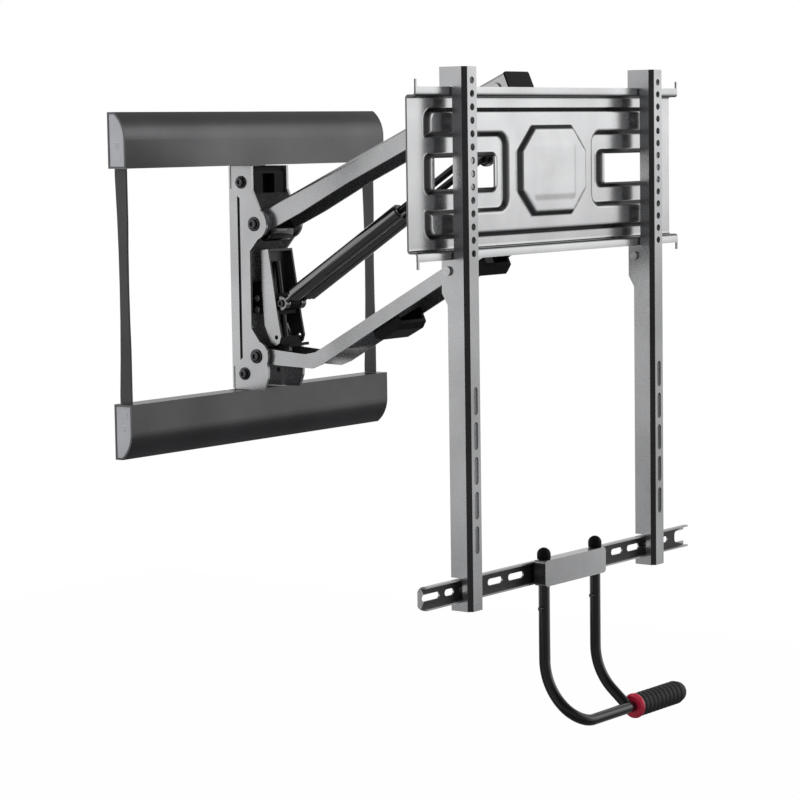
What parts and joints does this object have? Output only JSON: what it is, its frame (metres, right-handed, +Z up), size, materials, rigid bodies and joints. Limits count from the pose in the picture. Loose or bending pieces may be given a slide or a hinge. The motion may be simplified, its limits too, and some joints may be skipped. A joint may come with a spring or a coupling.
{
  "type": "pull-down tv wall mount",
  "caption": "Wall mount for a television: a parallelogram arm with twin gas springs lowers, swivels and tilts a plate with two slotted rails and a pull handle.",
  "frame": {"origin": "on the wall plane, in the middle of the wall frame's width and height", "axes": "+Z up; -Y out of the wall towards the television; +X to the right for someone facing the wall"},
  "size_m": [0.578, 0.5838, 0.809],
  "materials": {
    "frame_steel": "satin graphite powder coat",
    "plate_steel": "satin graphite powder coat",
    "bolt_zinc": "zinc-plated satin",
    "cover_plastic": "fine-grained matte",
    "cap_plastic": "matte light grey",
    "black_plastic": "matte black",
    "spring_black": "gloss black enamel",
    "rod_chrome": "polished",
    "handle_gloss": "gloss black enamel",
    "ring_red": "gloss red",
    "grip_foam": "ribbed matte foam rubber"
  },
  "bodies": {
    "wall_frame": {"wall_rail_upper": "frame_steel", "wall_rail_lower": "frame_steel", "column": "frame_steel", "column_bolts": "bolt_zinc", "cheek_left": "frame_steel", "cheek_right": "frame_steel", "cheek_bolts": "bolt_zinc", "stop_block": "black_plastic", "cover_upper": "cover_plastic", "cover_lower": "cover_plastic", "cover_cap_upper_left": "cap_plastic", "cover_cap_upper_right": "cap_plastic", "cover_cap_lower_left": "cap_plastic", "cover_cap_lower_right": "cap_plastic", "side_strip_left": "black_plastic", "side_strip_right": "black_plastic", "tension_bracket": "black_plastic", "tension_channel": "frame_steel", "channel_screws": "bolt_zinc", "tension_screw": "bolt_zinc", "spring_carriage": "black_plastic", "spring_lower_pin": "bolt_zinc", "screw_block": "black_plastic", "upper_pivot_pin": "bolt_zinc", "lower_pivot_pin": "bolt_zinc", "upper_pivot_spacers": "black_plastic", "lower_pivot_spacers": "black_plastic"},
    "upper_arm": {"upper_arm": "frame_steel", "upper_arm_hub": "black_plastic", "upper_arm_end_cap": "black_plastic", "front_upper_pin": "bolt_zinc"},
    "lower_arm": {"lower_arm": "frame_steel", "lower_arm_hub": "black_plastic", "cable_clip_rear": "black_plastic", "cable_clip_front": "black_plastic", "front_lower_pin": "bolt_zinc"},
    "spring_cylinders": {"spring_cylinder_left": "spring_black", "spring_cylinder_right": "spring_black"},
    "spring_rods": {"spring_rod_left": "rod_chrome", "spring_rod_right": "rod_chrome", "spring_cross_pin": "bolt_zinc"},
    "head_link": {"head_link": "frame_steel", "swivel_pin": "bolt_zinc"},
    "swivel_block": {"swivel_block": "black_plastic"},
    "plate": {"tilt_bracket": "frame_steel", "tilt_pin": "bolt_zinc", "vesa_plate": "plate_steel", "tv_rail_left": "plate_steel", "tv_rail_right": "plate_steel", "rail_safety_screws": "bolt_zinc", "crossbar": "plate_steel", "crossbar_bolts": "bolt_zinc", "clamp_bracket": "plate_steel", "clamp_screws": "bolt_zinc"},
    "handle": {"handle_frame": "handle_gloss", "handle_ball_caps": "black_plastic", "handle_stop_studs": "bolt_zinc", "grip_ring": "ring_red", "handle_grip": "grip_foam", "grip_end_plug": "black_plastic"}
  },
  "joints": [
    {"name": "lift", "type": "hinge", "parent": "wall_frame", "child": "upper_arm", "pos_m": [0, -0.046, 0.072], "axis": [-1, 0, 0], "range_deg": [-59.5, 36]},
    {"name": "lower_arm_hinge", "type": "hinge", "parent": "wall_frame", "child": "lower_arm", "pos_m": [0, -0.046, -0.103], "axis": [-1, 0, 0], "range_deg": [-60, 36.5]},
    {"name": "spring_swing", "type": "hinge", "parent": "wall_frame", "child": "spring_cylinders", "pos_m": [0, -0.07588, -0.03305], "axis": [-1, 0, 0], "range_deg": [-58.2, 35.4]},
    {"name": "spring_stroke", "type": "slide", "parent": "spring_cylinders", "child": "spring_rods", "axis": [0, -0.8479, 0.5302], "range_m": [-0.104, 0.0635]},
    {"name": "head_level", "type": "hinge", "parent": "upper_arm", "child": "head_link", "pos_m": [0, -0.43117, 0.23947], "axis": [-1, 0, 0], "range_deg": [-36.5, 60]},
    {"name": "swivel", "type": "hinge", "parent": "head_link", "child": "swivel_block", "pos_m": [0, -0.45917, 0.14097], "axis": [0, 0, 1], "range_deg": [-30, 30]},
    {"name": "tilt", "type": "hinge", "parent": "swivel_block", "child": "plate", "pos_m": [0, -0.47617, 0.14097], "axis": [1, 0, 0], "range_deg": [-5, 15]},
    {"name": "handle_slide", "type": "slide", "parent": "plate", "child": "handle", "axis": [0, 0, 1], "range_m": [0, 0.024]}
  ],
  "couplings": [
    {"joint": "lower_arm_hinge", "follows": "lift", "ratio": 1},
    {"joint": "head_level", "follows": "lift", "ratio": -1},
    {"joint": "spring_swing", "follows": "lift", "ratio": 0.97},
    {"joint": "spring_stroke", "follows": "lift", "m_per_rad": 0.0997}
  ]
}
